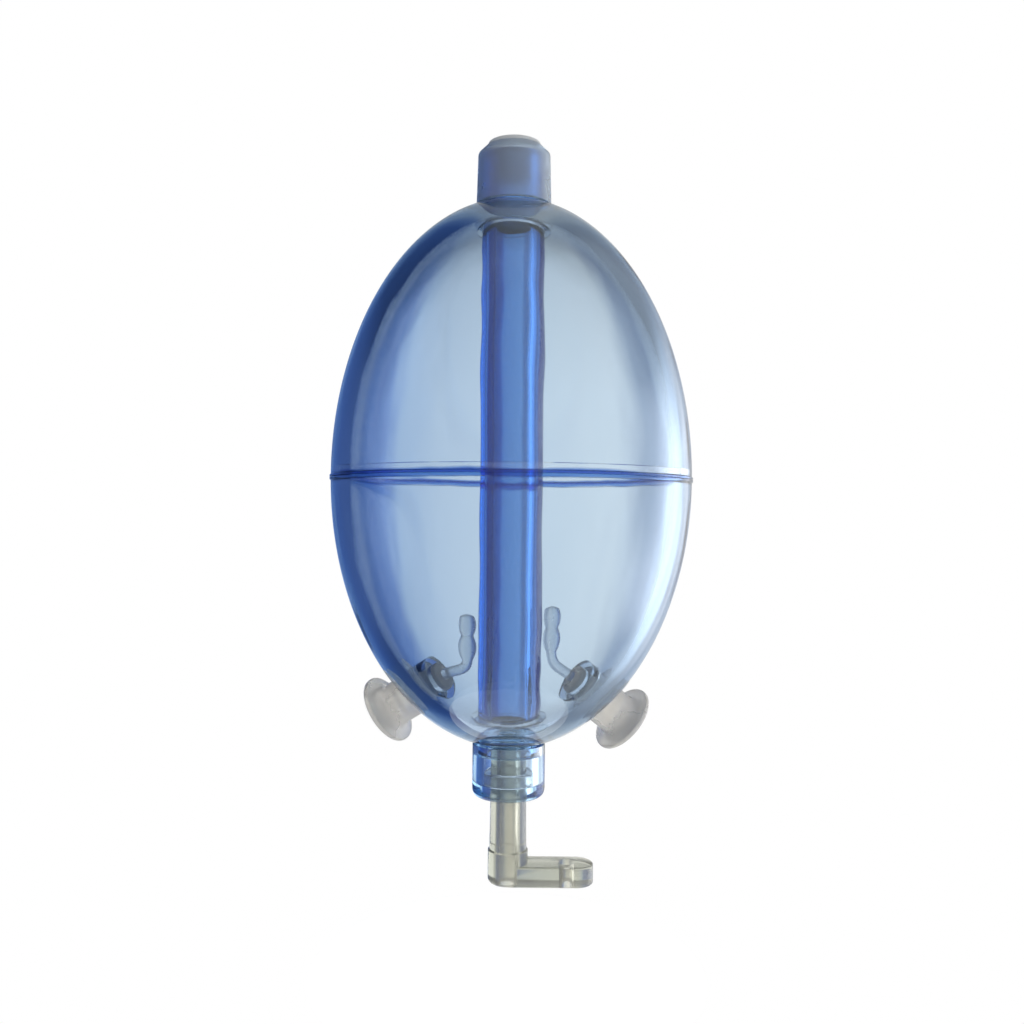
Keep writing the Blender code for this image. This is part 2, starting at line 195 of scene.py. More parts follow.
# %% White sheet
SHEET_STRENGTH = 1.25
sheet_across = tone_along(
    "X",
    [
        (-1.0, (0.08, 0.12, 0.26)),
        (-0.45, (0.06, 0.12, 0.32)),
        (-0.32, (0.08, 0.16, 0.42)),
        (-0.25, (0.19, 0.29, 0.56)),
        (-0.195, (0.52, 0.61, 0.74)),
        (-0.12, (0.68, 0.73, 0.78)),
        (0.05, (0.84, 0.86, 0.84)),
        (0.18, (1.00, 0.97, 0.90)),
        (0.27, (0.55, 0.58, 0.63)),
        (0.36, (0.50, 0.53, 0.58)),
        (0.50, (0.75, 0.77, 0.80)),
        (1.0, (0.75, 0.75, 0.75)),
    ],
)
sheet_up = tone_along(
    "Z",
    [
        (-1.0, 0.5),
        (-0.5, 0.6),
        (-0.3, 1.0),
        (0.12, 1.0),
        (0.27, 0.85),
        (0.42, 0.45),
        (1.0, 0.4),
    ],
)
sheet = light(SHEET_STRENGTH, product(sheet_across, sheet_up))
print("sheet hung")

# %% [markdown]
# A tall soft window to the right puts a bright band along the egg's right rim. The room in
# front is grey, lighter to the right. What the camera sees directly is plain white, so the
# background carries none of this.

# %% Window and room
WINDOW_STRENGTH = 4.0
FRONT_STRENGTH = 1.2
LIGHT_BOUNCES = 24
GLOSS_BOUNCES = 8

window_across = tone_along(
    "X",
    [
        (0.50, 0),
        (0.58, 0.22),
        (0.70, 0.22),
        (0.77, 0.2),
        (0.83, 0.45),
        (0.94, 0.45),
        (1.0, 0.1),
    ],
)
window_up = tone_along("Z", [(-0.7, 0), (-0.4, 1), (0.1, 1), (0.36, 0)])
window = light(WINDOW_STRENGTH, product(window_across, window_up))
is_behind = tone_along("Y", [(-0.25, 0), (0.2, 1)])
front = light(FRONT_STRENGTH, tone_along("X", [(-1.0, 0.4), (0.0, 0.65), (1.0, 1.0)]))
sheet_and_window = join("ShaderNodeAddShader", sheet, window)
all_round = join("ShaderNodeMixShader", front, sheet_and_window, is_behind)
seen_directly = add_node(room, "ShaderNodeLightPath").outputs["Is Camera Ray"]
backdrop = light(1.0)
lit = join("ShaderNodeMixShader", all_round, backdrop, seen_directly)
room_out = add_node(room, "ShaderNodeOutputWorld")
room.links.new(lit, room_out.inputs["Surface"])

bpy.context.scene.view_settings.view_transform = "Standard"
bpy.context.scene.cycles.max_bounces = LIGHT_BOUNCES
bpy.context.scene.cycles.transmission_bounces = LIGHT_BOUNCES
bpy.context.scene.cycles.glossy_bounces = GLOSS_BOUNCES
print("room made of", len(room.nodes), "nodes")

# %% [markdown]
# The float hangs over a small pale disc. The disc lies as far below the key's foot as the key
# can be pulled out, so that the key has room at every pose. It is matt and faintly glowing,
# so it stays as pale as the background.

# %% Floor
FLOOR_RADIUS = 22 * MM
FLOOR_GAP = 0.5 * MM
FLOOR_ROUGHNESS = 0.9
FLOOR_GLOW = 0.72

key_travel = max(next(j for j in frame["joints"] if j["name"] == "key_slide")["range_m"])
floor_height = cad_box[0][2] - key_travel - FLOOR_GAP

floor_material = bpy.data.materials.new("pale_floor")
floor_material.use_nodes = True
floor_nodes = floor_material.node_tree
floor_shader = floor_nodes.nodes["Principled BSDF"]
floor_shader.inputs["Roughness"].default_value = FLOOR_ROUGHNESS
floor_shader.inputs["Emission Color"].default_value = (1, 1, 1, 1)
floor_shader.inputs["Emission Strength"].default_value = FLOOR_GLOW
floor_grain = add_node(floor_nodes, "ShaderNodeTexNoise", Scale=400.0)
floor_tone = add_node(floor_nodes, "ShaderNodeValToRGB")
set_ramp(floor_tone.color_ramp, [(0, (0.62, 0.62, 0.62)), (1, (0.66, 0.66, 0.66))])
floor_nodes.links.new(floor_grain.outputs["Fac"], floor_tone.inputs["Fac"])
floor_nodes.links.new(floor_tone.outputs["Color"], floor_shader.inputs["Base Color"])

disc = bmesh.new()
bmesh.ops.create_circle(disc, cap_ends=True, segments=128, radius=FLOOR_RADIUS)
bmesh.ops.translate(disc, verts=disc.verts, vec=(0, 0, floor_height))
disc_mesh = bpy.data.meshes.new("floor")
disc.to_mesh(disc_mesh)
disc.free()
floor = bpy.data.objects.new("floor", disc_mesh)
floor.data.materials.append(floor_material)
bpy.context.scene.collection.objects.link(floor)
print("floor lies at", round(floor_height / MM, 2), "mm")

# %% [markdown]
# Almost every piece of the float is round, as if turned on a lathe. So most of the model is
# made from profiles: points of (radius, height), spun once about the tube's axis. Real
# moulded plastic has no knife edges, so a profile's corners are first replaced by small arcs.

# %% Rounded corners
LONGEST_CUT = 0.48


def rounded(corners, steps=5, closed=True):
    """Corners of (radius, height, fillet) as points, with an arc at each filleted corner.

    LONGEST_CUT is the most of a side that a corner's arc may use.
    """
    points = []
    last = len(corners) - 1
    for index, (radius, height, fillet) in enumerate(corners):
        if not fillet or (not closed and index in (0, last)):
            points.append((radius, height))
            continue
        here = Vector((radius, height))
        before = Vector(corners[index - 1][:2]) - here
        after = Vector(corners[(index + 1) % len(corners)][:2]) - here
        back = fillet / math.tan(before.angle(after) / 2)
        back = min(back, LONGEST_CUT * before.length, LONGEST_CUT * after.length)
        start = here + before.normalized() * back
        end = here + after.normalized() * back
        for step in range(steps + 1):
            t = step / steps
            points.append(tuple(start * (1 - t) ** 2 + here * 2 * t * (1 - t) + end * t * t))
    return points


square = [(1, 1, 0.1), (2, 1, 0.1), (2, 2, 0.1), (1, 2, 0.1)]
print("a rounded square has", len(rounded(square)), "points")

# %% [markdown]
# A profile is spun into a closed shape, and a shape becomes a named piece with one material.
# Its surface is shaded smooth but for its real corners. A shape can also be cut out of a
# piece or joined on to it.

# %% Turning tools
MERGE_WITHIN = 0.0005 * MM


def add_piece(name, shape, material, sharp=30):
    """A mesh object from a bmesh, smooth but for corners sharper than the given degrees."""
    mesh = bpy.data.meshes.new(name)
    bmesh.ops.recalc_face_normals(shape, faces=shape.faces)
    shape.to_mesh(mesh)
    shape.free()
    mesh.shade_smooth()
    mesh.set_sharp_from_angle(angle=math.radians(sharp))
    mesh.materials.append(material)
    piece = bpy.data.objects.new(name, mesh)
    bpy.context.scene.collection.objects.link(piece)
    print(name, "has", len(mesh.polygons), "faces")
    return piece


def spin_profile(points, segments=96, closed=True):
    """A bmesh of points (radius, height) spun about Z. An open profile ends on the axis."""
    shape = bmesh.new()
    ring = [shape.verts.new((radius, 0, height)) for radius, height in points]
    pairs = list(zip(ring, ring[1:])) + ([(ring[-1], ring[0])] if closed else [])
    edges = [shape.edges.new(pair) for pair in pairs]
    bmesh.ops.spin(
        shape,
        geom=ring + edges,
        cent=(0, 0, 0),
        axis=(0, 0, 1),
        angle=FULL_TURN,
        steps=segments,
        use_merge=True,
    )
    bmesh.ops.remove_doubles(shape, verts=shape.verts, dist=MERGE_WITHIN)
    return shape


def carve(piece, shape, operation, sharp=30):
    """Cuts a bmesh out of a piece, or joins it on, by a Boolean operation."""
    cutter_mesh = bpy.data.meshes.new("cutter")
    bmesh.ops.recalc_face_normals(shape, faces=shape.faces)
    shape.to_mesh(cutter_mesh)
    shape.free()
    cutter = bpy.data.objects.new("cutter", cutter_mesh)
    bpy.context.scene.collection.objects.link(cutter)
    modifier = piece.modifiers.new("carve", "BOOLEAN")
    modifier.operation = operation
    modifier.solver = "EXACT"
    modifier.object = cutter
    bpy.context.view_layer.update()
    evaluated = piece.evaluated_get(bpy.context.evaluated_depsgraph_get())
    mesh = bpy.data.meshes.new_from_object(evaluated)
    piece.modifiers.clear()
    piece.data = mesh
    bpy.data.objects.remove(cutter, do_unlink=True)
    mesh.shade_smooth()
    mesh.set_sharp_from_angle(angle=math.radians(sharp))
    print(piece.name, "after", operation.lower(), "has", len(mesh.polygons), "faces")


print("turning tools ready")

# %% [markdown]
# The egg's outline is two half ellipses that meet at the seam. Its size comes from the CAD
# shells: their widest radius less the weld bead, and their heights at the tube's hole.

# %% Egg outline
BEAD = 0.12 * MM
WALL = 2.0 * MM
HOLE_RADIUS = 3.6 * MM
SOCKET_RADIUS = 4.3 * MM

shell_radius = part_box("upper_shell")[1].x - BEAD
hole_share = math.sqrt(1 - (HOLE_RADIUS / shell_radius) ** 2)
upper_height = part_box("upper_shell")[1].z / hole_share
lower_height = -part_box("lower_shell")[0].z / hole_share
inner_radius = shell_radius - WALL


def arc_points(radius, height, start, end, steps=72):
    """Points of a half ellipse between two of its own angles, 0 at the seam."""
    angles = [start + (end - start) * step / steps for step in range(steps + 1)]
    return [(radius * math.cos(a), height * math.sin(a)) for a in angles]


print("egg is", round(shell_radius / MM, 2), "mm in radius, heights",
      round(upper_height / MM, 2), "and", round(lower_height / MM, 2), "mm")

# %% [markdown]
# The two halves are welded, and the weld leaves a thin uneven band of stronger blue at the
# seam. It is a stain in the skin: its height comes from a point's height on the float, pushed
# up and down a little by noise.

# %% Weld stain
STAIN_WOBBLE = 1.2 * MM
STAIN_BOTTOM = -0.4 * MM
STAIN_TOP = 1.6 * MM
PLAIN = (1, 1, 1)


def stain_weld(tree, place, colour, weld):
    """The colour, stained with the weld's colour in a band near the seam."""
    wobble = add_node(tree, "ShaderNodeTexNoise", Scale=90.0, Detail=3.0)
    height = add_node(tree, "ShaderNodeSeparateXYZ")
    lift = add_node(tree, "ShaderNodeMath", operation="MULTIPLY_ADD")
    lift.inputs[1].default_value = STAIN_WOBBLE
    near = add_node(tree, "ShaderNodeMapRange")
    near.inputs["From Min"].default_value = STAIN_BOTTOM
    near.inputs["From Max"].default_value = STAIN_TOP
    band = add_node(tree, "ShaderNodeValToRGB")
    set_ramp(
        band.color_ramp,
        [(0.0, PLAIN), (0.24, PLAIN), (0.36, weld), (0.60, weld), (0.78, PLAIN)],
    )
    stain = add_node(tree, "ShaderNodeMix", data_type="RGBA", blend_type="MULTIPLY")
    stain.inputs["Factor"].default_value = 1.0
    tree.links.new(place, wobble.inputs["Vector"])
    tree.links.new(place, height.inputs[0])
    tree.links.new(wobble.outputs["Fac"], lift.inputs[0])
    tree.links.new(height.outputs["Z"], lift.inputs[2])
    tree.links.new(lift.outputs[0], near.inputs["Value"])
    tree.links.new(near.outputs["Result"], band.inputs["Fac"])
    tree.links.new(colour, stain.inputs["A"])
    tree.links.new(band.outputs["Color"], stain.inputs["B"])
    return stain.outputs["Result"]


print("weld stain reaches", round((STAIN_TOP - STAIN_BOTTOM) / MM, 1), "mm at most")

# %% [markdown]
# Clear plastic takes its colour from its depth, not from its skin: the longer light travels
# inside, the bluer it gets. So each clear material is glass-smooth with a faint absorption
# in its volume, given per metre for red, green and blue. The skin adds what a moulding has:
# soft flow waves, patches of haze and a few specks.

# %% Clear plastic
SPECK_DEPTH = 0.06
HAZE_LEAST = 0.6
HAZE_MOST = 1.8
WAVE_HEIGHT = 0.6 * MM
WAVE_STRETCH = 0.35


def clear_plastic(
    name,
    absorbs,
    tint=PLAIN,
    dull=0.03,
    passes=1.0,
    waves=0.1,
    bends=1.5,
    weld=None,
):
    """A see-through plastic; absorbs is the light lost per metre in red, green and blue.

    tint colours the skin, dull is its roughness, passes is the share of light that goes in,
    and bends is how strongly the light bends there. weld is the colour of the weld's stain.
    """
    material = bpy.data.materials.new(name)
    material.use_nodes = True
    tree = material.node_tree
    skin = tree.nodes["Principled BSDF"]
    skin.inputs["IOR"].default_value = bends
    skin.inputs["Transmission Weight"].default_value = passes
    place = add_node(tree, "ShaderNodeTexCoord")

    dust = add_node(tree, "ShaderNodeTexNoise", Scale=900.0, Detail=2.0)
    dust_cut = add_node(tree, "ShaderNodeValToRGB")
    darker = tuple(channel * (1 - SPECK_DEPTH) for channel in tint)
    set_ramp(dust_cut.color_ramp, [(0.0, darker), (0.34, tint), (1.0, tint)])
    tree.links.new(place.outputs["Object"], dust.inputs["Vector"])
    tree.links.new(dust.outputs["Fac"], dust_cut.inputs["Fac"])
    colour = dust_cut.outputs["Color"]
    if weld:
        colour = stain_weld(tree, place.outputs["Object"], colour, weld)
    tree.links.new(colour, skin.inputs["Base Color"])

    haze = add_node(tree, "ShaderNodeTexNoise", Scale=160.0, Detail=4.0)
    haze_range = add_node(tree, "ShaderNodeMapRange")
    haze_range.inputs["From Min"].default_value = 0.35
    haze_range.inputs["From Max"].default_value = 0.75
    haze_range.inputs["To Min"].default_value = dull * HAZE_LEAST
    haze_range.inputs["To Max"].default_value = dull * HAZE_MOST
    tree.links.new(place.outputs["Object"], haze.inputs["Vector"])
    tree.links.new(haze.outputs["Fac"], haze_range.inputs["Value"])
    tree.links.new(haze_range.outputs["Result"], skin.inputs["Roughness"])

    stretch = add_node(tree, "ShaderNodeMapping", Scale=(1.0, 1.0, WAVE_STRETCH))
    flow = add_node(tree, "ShaderNodeTexNoise", Scale=130.0, Detail=2.0)
    swell = add_node(tree, "ShaderNodeBump", Strength=waves, Distance=WAVE_HEIGHT)
    tree.links.new(place.outputs["Object"], stretch.inputs["Vector"])
    tree.links.new(stretch.outputs["Vector"], flow.inputs["Vector"])
    tree.links.new(flow.outputs["Fac"], swell.inputs["Height"])
    tree.links.new(swell.outputs["Normal"], skin.inputs["Normal"])

    depth_colour = add_node(tree, "ShaderNodeVolumeAbsorption")
    density = max(absorbs)
    kept = tuple(1 - channel / density for channel in absorbs)
    depth_colour.inputs["Color"].default_value = (*kept, 1)
    depth_colour.inputs["Density"].default_value = density
    output = tree.nodes["Material Output"]
    tree.links.new(depth_colour.outputs["Volume"], output.inputs["Volume"])
    return material


shell_blue = clear_plastic(
    "shell_clear_blue", (176, 118, 66), waves=0.16, weld=(0.14, 0.33, 0.74)
)
print("shell material made")

# %% [markdown]
# The upper half ends in a rim that laps outside the lower half, with a thin bead of weld
# round the joint. Inside, a short socket holds the tube at the pole.

# %% Upper half
LAP = 1.0 * MM
WELD_GAP = 0.05 * MM
UPPER_SOCKET_DEPTH = 1.25 * MM
BEAD_HEIGHT = 0.35 * MM
BEAD_ROUND = 0.06 * MM
RIM_ROUND = 0.03 * MM
BEAD_SHOULDER = 0.7
SHELL_STEPS = 160


def shell_inside(height, socket_depth, rim):
    """The inner side of one half, from its tube hole to its rim, heights taken as positive."""
    inner_height = height - WALL
    socket_end = inner_height - socket_depth
    start = math.acos(SOCKET_RADIUS / inner_radius)
    arc = arc_points(inner_radius, inner_height, start, math.asin(rim / inner_height))
    return [(HOLE_RADIUS, socket_end), (SOCKET_RADIUS, socket_end)] + arc


tongue_radius = shell_radius - WALL / 2
pole = math.acos(HOLE_RADIUS / shell_radius)
outside = arc_points(shell_radius, upper_height, pole, math.asin(BEAD_HEIGHT / upper_height))
inside = shell_inside(upper_height, UPPER_SOCKET_DEPTH, LAP + WELD_GAP)
rim_points = rounded(
    [
        (outside[-1][0], outside[-1][1], 0),
        (shell_radius + BEAD, BEAD_HEIGHT * BEAD_SHOULDER, BEAD_ROUND),
        (shell_radius + BEAD, WELD_GAP / 2, RIM_ROUND),
        (tongue_radius + WELD_GAP, WELD_GAP / 2, 0),
        (tongue_radius + WELD_GAP, LAP + WELD_GAP, 0),
    ],
    closed=False,
)
shape = spin_profile(outside[:-1] + rim_points + inside[::-1], segments=SHELL_STEPS)
upper_half = add_piece("upper_half", shape, shell_blue)
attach(upper_half, "float_body")
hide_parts("upper_shell")

# %% [markdown]
# The lower half carries a tongue round its rim, which fits inside the upper half's lap. Its
# side of the weld bead is thickest at the seam and fades into the egg.

# %% Lower half
LOWER_SOCKET_DEPTH = 1.15 * MM

outside = arc_points(shell_radius, lower_height, math.asin(BEAD_HEIGHT / lower_height), pole)
inside = shell_inside(lower_height, LOWER_SOCKET_DEPTH, 0)
rim_points = [
    (shell_radius + BEAD, -WELD_GAP / 2),
    (shell_radius + BEAD, -BEAD_HEIGHT * 0.6),
    (shell_radius + BEAD * 0.5, -BEAD_HEIGHT * 0.9),
]
profile = (
    rim_points
    + [(r, -z) for r, z in outside]
    + [(r, -z) for r, z in inside]
    + [(inner_radius, LAP), (tongue_radius, LAP), (tongue_radius, -WELD_GAP / 2)]
)
shape = spin_profile(profile, segments=SHELL_STEPS)
lower_half = add_piece("lower_half", shape, shell_blue)
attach(lower_half, "float_body")
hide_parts("lower_shell")

# %% [markdown]
# The lower half has two filler ports. A port is a short boss on the inner side, a straight
# bore, and a shallow seat that the plug's shaft sits in. The boss starts inside the wall, so
# that the two join cleanly. A port lies on the line that its plug slides along, where that
# line leaves the egg, so its place comes from the plug's joint.

# %% Port places
def port_frame(side):
    """The port's place on the shell's surface, with local Z pointing out along its joint."""
    joint = next(j for j in frame["joints"] if j["name"] == f"{side}_plug_pull")
    out = Vector(joint["axis"]).normalized()
    verts = frame["nodes"][f"{side}_plug"].data.vertices
    middle = sum((v.co for v in verts), Vector()) / len(verts)
    squeeze = Vector((1 / shell_radius, 1 / shell_radius, 1 / lower_height))
    m, o = middle * squeeze, out * squeeze
    a, b, c = o.dot(o), 2 * m.dot(o), m.dot(m) - 1
    along = (-b + math.sqrt(b * b - 4 * a * c)) / (2 * a)
    centre = middle + out * along
    return Matrix.Translation(centre) @ out.to_track_quat("Z", "Y").to_matrix().to_4x4()


ports = {side: port_frame(side) for side in ("left", "right")}
for side, place in ports.items():
    print(side, "port at", [round(x / MM, 2) for x in place.translation])

# %% [markdown]
# Each port is made with three plain rods along its line: one is joined on as the boss, and
# two are cut out as the seat and the bore.

# %% Filler ports
PORT_BORE = 1.75 * MM
BOSS_RADIUS = 2.75 * MM
BOSS_DEPTH = 3.1 * MM
BOSS_ROOT = 0.63 * WALL
SEAT_RADIUS = 2.6 * MM
SEAT_DEPTH = 0.5 * MM
CUT_PAST = 5 * MM


def rod(radius, bottom, top, place, segments=96):
    """A plain cylinder along the local Z of a place."""
    shape = bmesh.new()
    bmesh.ops.create_cone(
        shape,
        cap_ends=True,
        segments=segments,
        radius1=radius,
        radius2=radius,
        depth=top - bottom,
        matrix=place @ Matrix.Translation((0, 0, (top + bottom) / 2)),
    )
    return shape


for place in ports.values():
    carve(lower_half, rod(BOSS_RADIUS, -BOSS_DEPTH, -BOSS_ROOT, place), "UNION")
    carve(lower_half, rod(SEAT_RADIUS, -SEAT_DEPTH, CUT_PAST, place), "DIFFERENCE")
    carve(lower_half, rod(PORT_BORE, -CUT_PAST, CUT_PAST, place), "DIFFERENCE")

# %% [markdown]
# The line tube is the same plastic in a much stronger blue. It runs from inside the collar
# to inside the neck, and its outer edges are rounded. Its bore is wider below, where the
# key's stem runs.

# %% Line tube
tube_blue = clear_plastic("tube_deep_blue", (600, 340, 105), dull=0.04)
TUBE_BORE = 2.0 * MM
STEM_ROOM_RADIUS = 2.45 * MM
STEM_ROOM_ABOVE = 0.4 * MM
TUBE_ROUND = 0.2 * MM
SMALL_ROUND = 0.05 * MM
TURN_STEPS = 128
low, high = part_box("centre_tube")
tube_radius = high.x
stem_room_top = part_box("key")[1].z + STEM_ROOM_ABOVE
profile = rounded(
    [
        (TUBE_BORE, high.z, SMALL_ROUND),
        (tube_radius, high.z, TUBE_ROUND),
        (tube_radius, low.z, TUBE_ROUND),
        (STEM_ROOM_RADIUS, low.z, SMALL_ROUND),
        (STEM_ROOM_RADIUS, stem_room_top, SMALL_ROUND),
        (TUBE_BORE, stem_room_top, SMALL_ROUND),
    ]
)
line_tube = add_piece("line_tube", spin_profile(profile, segments=TURN_STEPS), tube_blue)
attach(line_tube, "float_body")
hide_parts("centre_tube")

# %% [markdown]
# The collar is a sleeve of frosted grey-blue plastic over the tube's upper end. Its mouth
# narrows to a sloped shoulder round the bush, and its base leaves a thin dark gap over the
# egg's pole. Frosting is a rough skin, so the light that passes through it is scattered.

# %% Collar
frosted = clear_plastic(
    "collar_frosted", (150, 85, 35), tint=(0.87, 0.93, 1.0), dull=0.28, passes=0.92,
    waves=0.25,
)
low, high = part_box("top_collar")
BORE_RADIUS = 3.6 * MM
MOUTH_RADIUS = 3.0 * MM
COLLAR_TOP_RADIUS = 4.05 * MM
MOUTH_LIP = 0.2 * MM
SLOPE = 0.85 * MM
END_GAP = 0.1 * MM
tube_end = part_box("centre_tube")[1].z + END_GAP
profile = rounded(
    [
        (MOUTH_RADIUS, high.z, SMALL_ROUND),
        (MOUTH_RADIUS + MOUTH_LIP, high.z, 0.08 * MM),
        (COLLAR_TOP_RADIUS, high.z - SLOPE, 0.35 * MM),
        (high.x, low.z, 0.12 * MM),
        (BORE_RADIUS, low.z, SMALL_ROUND),
        (BORE_RADIUS, tube_end, 0),
        (MOUTH_RADIUS, tube_end, 0),
    ]
)
collar = add_piece("collar", spin_profile(profile, segments=TURN_STEPS), frosted)
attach(collar, "float_body")
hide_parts("top_collar")

# %% [markdown]
# The bush is a pale ring that stands a little proud of the collar's mouth. The line runs
# over its rounded inner edge, and its spigot sits inside the tube.

# %% Bush
pale = clear_plastic(
    "bush_pale", (90, 80, 70), tint=(0.90, 0.92, 0.93), dull=0.30, passes=0.5, waves=0.2
)
low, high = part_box("top_bush")
BUSH_BORE = 1.25 * MM
SPIGOT_RADIUS = 1.95 * MM
profile = rounded(
    [
        (BUSH_BORE, high.z, 0.3 * MM),
        (high.x, high.z, 0.18 * MM),
        (high.x, tube_end, SMALL_ROUND),
        (SPIGOT_RADIUS, tube_end, 0),
        (SPIGOT_RADIUS, low.z, 0.1 * MM),
        (BUSH_BORE, low.z, 0.1 * MM),
    ]
)
bush = add_piece("bush", spin_profile(profile, segments=96), pale)
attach(bush, "float_body")
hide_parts("top_bush")

# %% [markdown]
# The neck is a clear cup on the tube's lower end. Its shoulder is well rounded, and a web
# closes it but for a hole that the key's stem passes through.

# %% Neck
neck_blue = clear_plastic("neck_clear_blue", (175, 88, 24), dull=0.04)
low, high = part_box("neck_socket")
NECK_BORE = 2.85 * MM
NECK_ROUND = 1.6 * MM
WEB = 1.4 * MM
STEM_HOLE = 2.1 * MM
step_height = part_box("centre_tube")[0].z - END_GAP
profile = rounded(
    [
        (HOLE_RADIUS, high.z, SMALL_ROUND),
        (high.x, high.z, 0.1 * MM),
        (high.x, low.z, NECK_ROUND),
        (STEM_HOLE, low.z, 0.12 * MM),
        (STEM_HOLE, low.z + WEB, 0.08 * MM),
        (NECK_BORE, low.z + WEB, 0.2 * MM),
        (NECK_BORE, step_height, SMALL_ROUND),
        (HOLE_RADIUS, step_height, SMALL_ROUND),
    ],
    steps=8,
)
neck = add_piece("neck", spin_profile(profile, segments=TURN_STEPS), neck_blue)
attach(neck, "float_body")
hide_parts("neck_socket")

# %% [markdown]
# A square ring of soft grey seal sits on the web, round the key's stem. Its two edges show
# through the neck as two thin lines.

# %% Seal ring
seal_grey = clear_plastic(
    "seal_soft_grey", (70, 60, 45), tint=(0.93, 0.95, 0.97), dull=0.10, passes=0.92
)
low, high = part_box("stem_seal")
SEAL_BORE = 2.05 * MM
profile = rounded(
    [
        (SEAL_BORE, high.z, 0.1 * MM),
        (high.x, high.z, 0.15 * MM),
        (high.x, low.z, 0.15 * MM),
        (SEAL_BORE, low.z, 0.1 * MM),
    ]
)
seal = add_piece("seal_ring", spin_profile(profile, segments=96), seal_grey)
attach(seal, "seal_ring")
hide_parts("stem_seal")

# %% [markdown]
# The turn key is one moulding: a hollow stem that runs up through the seal, a thicker foot
# with a small step, and a flat arm with a round end and an eye. The stem is turned solid.
# The arm is drawn as an outline, thickened, given broken edges and joined on. Then the bore
# and the eye are cut through both. The arm starts a hair off the stem's axis and foot,
# because a clean join needs faces that cross and never faces that coincide.

# %% Turn key
key_grey = clear_plastic(
    "key_grey_green", (120, 112, 140), tint=(0.86, 0.85, 0.78), dull=0.16, passes=0.82,
    waves=0.3,
)
low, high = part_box("key")
STEM_RADIUS = 2.0 * MM
STEM_DRAFT = 0.08 * MM
STEM_BORE = 0.9 * MM
FOOT_RADIUS = 2.25 * MM
FOOT_HEIGHT = 3.7 * MM
FOOT_ROUND = 0.7 * MM
FOOT_STEP = 0.15 * MM
ARM_THICKNESS = 2.25 * MM
ARM_WIDTH = 4.0 * MM
EYE_RADIUS = 0.9 * MM
EYE_FROM_END = 3.0 * MM
EDGE = 0.22 * MM
HAIR = 0.01 * MM
ARM_START = 5 * HAIR
ARM_STEPS = 40
EYE_STEPS = 64

foot_top = low.z + FOOT_HEIGHT
profile = rounded(
    [
        (0, high.z, 0),
        (STEM_RADIUS, high.z, 0.4 * MM),
        (STEM_RADIUS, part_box("neck_socket")[0].z, 0),
        (STEM_RADIUS + STEM_DRAFT, foot_top + FOOT_STEP, 0.06 * MM),
        (FOOT_RADIUS, foot_top, 0.08 * MM),
        (FOOT_RADIUS, low.z, FOOT_ROUND),
        (0, low.z, 0),
    ],
    steps=6,
    closed=False,
)
stem = spin_profile(profile, segments=96, closed=False)
turn_key = add_piece("turn_key", stem, key_grey)

half = ARM_WIDTH / 2
end_centre = high.x - half
round_end = [
    (end_centre + half * math.cos(a), half * math.sin(a))
    for a in (math.radians(-90 + 180 * step / ARM_STEPS) for step in range(ARM_STEPS + 1))
]
outline = [(ARM_START, -half)] + round_end + [(ARM_START, half)]
arm = bmesh.new()
face = arm.faces.new([arm.verts.new((x, y, low.z + HAIR)) for x, y in outline])
lifted = bmesh.ops.extrude_face_region(arm, geom=[face])["geom"]
lifted_verts = [g for g in lifted if isinstance(g, bmesh.types.BMVert)]
bmesh.ops.translate(arm, verts=lifted_verts, vec=(0, 0, ARM_THICKNESS))
rims = [e for e in arm.edges if abs(e.verts[0].co.z - e.verts[1].co.z) < HAIR / 10]
bmesh.ops.bevel(
    arm, geom=rims, offset=EDGE, segments=4, profile=0.5, affect="EDGES", material=-1
)
carve(turn_key, arm, "UNION")
foot_place = Matrix.Translation((0, 0, low.z))
bore_end = high.z - low.z + CUT_PAST
carve(turn_key, rod(STEM_BORE, -CUT_PAST, bore_end, foot_place), "DIFFERENCE")
eye_place = Matrix.Translation((high.x - EYE_FROM_END, 0, low.z))
carve(turn_key, rod(EYE_RADIUS, -CUT_PAST, CUT_PAST, eye_place, EYE_STEPS), "DIFFERENCE")
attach(turn_key, "turn_key")
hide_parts("key")

# %% [markdown]
# Each plug is a soft clear mushroom: a thin-rimmed head that flares out of a shaft, and a
# narrower stopper in the port's bore. It is turned about Z and then set along its port.

# %% Plugs
soft_clear = clear_plastic(
    "plug_soft_clear", (50, 55, 70), tint=(0.98, 0.965, 0.94), dull=0.30, passes=0.58,
    bends=1.3, waves=0.5,
)
SHAFT_RADIUS = 2.5 * MM
HEAD_RADIUS = 4.05 * MM
HEAD_FACE = 4.75 * MM
HEAD_EDGE = 0.55 * MM
HEAD_DOME = 0.25 * MM
HEAD_RIM = 0.12 * MM
FLARE = 1.1 * MM
FLARE_STEPS = 14
RIM_STEPS = 8
SEAT_GAP = 0.05 * MM
STOPPER_RADIUS = 1.7 * MM
STOPPER_END = BOSS_DEPTH + 0.65 * MM

